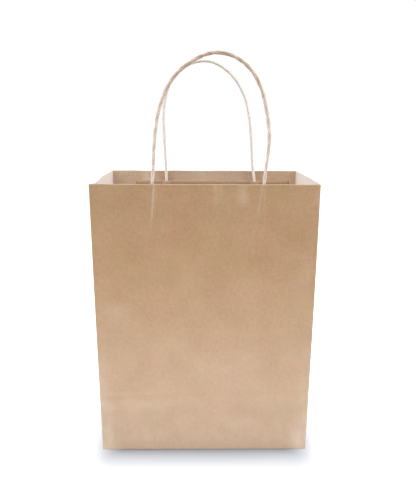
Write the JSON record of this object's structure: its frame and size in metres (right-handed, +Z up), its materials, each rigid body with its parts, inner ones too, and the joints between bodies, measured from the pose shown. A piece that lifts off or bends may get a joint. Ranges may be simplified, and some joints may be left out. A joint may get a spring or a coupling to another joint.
{
  "type": "gift bag",
  "caption": "Kraft paper gift bag with a block bottom, folding side gussets and two twisted paper cord handles that bend at the rim.",
  "frame": {"origin": "centre of the bottom, on the surface that the bag stands on", "axes": "+X to the right along the width, -Y to the front, +Z up to the rim"},
  "size_m": [0.203, 0.121, 0.3811],
  "materials": {
    "kraft_sheet": "matt machine-finished kraft paper",
    "patch_paper": "matt kraft paper, glued in two plies",
    "twisted_cord": "matt twisted kraft paper cord"
  },
  "bodies": {
    "back": {"back_panel": "kraft_sheet", "rear_patch_outer_ply": "patch_paper", "rear_patch_inner_ply": "patch_paper", "rear_handle_ends": "twisted_cord"},
    "left_rear_side": {"left_rear_gusset": "kraft_sheet"},
    "left_front_side": {"left_front_gusset": "kraft_sheet"},
    "front": {"front_panel": "kraft_sheet", "front_patch_outer_ply": "patch_paper", "front_patch_inner_ply": "patch_paper", "front_handle_ends": "twisted_cord"},
    "right_rear_side": {"right_rear_gusset": "kraft_sheet"},
    "right_front_side": {"right_front_gusset": "kraft_sheet", "side_seam_flap": "kraft_sheet"},
    "front_foot": {"front_foot_strip": "kraft_sheet"},
    "bottom": {"bottom_front_flap": "kraft_sheet", "bottom_rear_flap": "kraft_sheet", "bottom_left_fold": "kraft_sheet", "bottom_right_fold": "kraft_sheet"},
    "left_foot": {"left_foot_triangle": "kraft_sheet"},
    "right_foot": {"right_foot_triangle": "kraft_sheet"},
    "left_corner": {"left_front_corner": "kraft_sheet"},
    "right_corner": {"right_front_corner": "kraft_sheet"},
    "front_loop": {"front_handle": "twisted_cord"},
    "rear_loop": {"rear_handle": "twisted_cord"}
  },
  "joints": [
    {"name": "side_fold", "type": "hinge", "parent": "back", "child": "left_rear_side", "pos_m": [-0.10125, 0.06025, 0], "axis": [0, 0, 1], "range_deg": [0, 85]},
    {"name": "left_middle_crease", "type": "hinge", "parent": "left_rear_side", "child": "left_front_side", "pos_m": [-0.1015, 0, 0], "axis": [0, 0, -1], "range_deg": [0, 170.1]},
    {"name": "left_front_crease", "type": "hinge", "parent": "left_front_side", "child": "front", "pos_m": [-0.10125, -0.06025, 0], "axis": [0, 0, 1], "range_deg": [0, 85.1]},
    {"name": "right_rear_crease", "type": "hinge", "parent": "back", "child": "right_rear_side", "pos_m": [0.10125, 0.06025, 0], "axis": [0, 0, -1], "range_deg": [0, 85.1]},
    {"name": "right_middle_crease", "type": "hinge", "parent": "right_rear_side", "child": "right_front_side", "pos_m": [0.1015, 0, 0], "axis": [0, 0, 1], "range_deg": [0, 170.1]},
    {"name": "foot_crease", "type": "hinge", "parent": "front", "child": "front_foot", "pos_m": [0, -0.0605, 0.061], "axis": [-1, 0, 0], "range_deg": [0, 155]},
    {"name": "bottom_crease", "type": "hinge", "parent": "front_foot", "child": "bottom", "pos_m": [0, -0.06025, 0.00075], "axis": [1, 0, 0], "range_deg": [0, 83]},
    {"name": "left_foot_crease", "type": "hinge", "parent": "bottom", "child": "left_foot", "pos_m": [-0.10125, 0, 0.00075], "axis": [0, 1, 0], "range_deg": [0, 88.1], "deforming": ["left_foot_triangle"]},
    {"name": "right_foot_crease", "type": "hinge", "parent": "bottom", "child": "right_foot", "pos_m": [0.10125, 0, 0.00075], "axis": [0, -1, 0], "range_deg": [0, 88.1], "deforming": ["right_foot_triangle"]},
    {"name": "left_corner_crease", "type": "hinge", "parent": "front_foot", "child": "left_corner", "pos_m": [-0.10125, -0.06025, 0], "axis": [0, 0, -1], "range_deg": [0, 88.1], "deforming": ["left_front_corner"]},
    {"name": "right_corner_crease", "type": "hinge", "parent": "front_foot", "child": "right_corner", "pos_m": [0.10125, -0.06025, 0], "axis": [0, 0, 1], "range_deg": [0, 88.1], "deforming": ["right_front_corner"]},
    {"name": "front_handle_bend", "type": "hinge", "parent": "front", "child": "front_loop", "pos_m": [0, -0.05835, 0.2683], "axis": [1, 0, 0], "range_deg": [-30, 95]},
    {"name": "rear_handle_bend", "type": "hinge", "parent": "back", "child": "rear_loop", "pos_m": [0, 0.05835, 0.2683], "axis": [-1, 0, 0], "range_deg": [-30, 95]}
  ],
  "couplings": [
    {"joint": "left_middle_crease", "follows": "side_fold", "ratio": 2},
    {"joint": "left_front_crease", "follows": "side_fold", "ratio": 1},
    {"joint": "right_rear_crease", "follows": "side_fold", "ratio": 1},
    {"joint": "right_middle_crease", "follows": "side_fold", "ratio": 2},
    {"joint": "foot_crease", "follows": "side_fold", "ratio": 1.822},
    {"joint": "bottom_crease", "follows": "side_fold", "ratio": 0.97332},
    {"joint": "left_foot_crease", "follows": "side_fold", "ratio": 1.0353},
    {"joint": "right_foot_crease", "follows": "side_fold", "ratio": 1.0353},
    {"joint": "left_corner_crease", "follows": "side_fold", "ratio": 1.0353},
    {"joint": "right_corner_crease", "follows": "side_fold", "ratio": 1.0353}
  ]
}
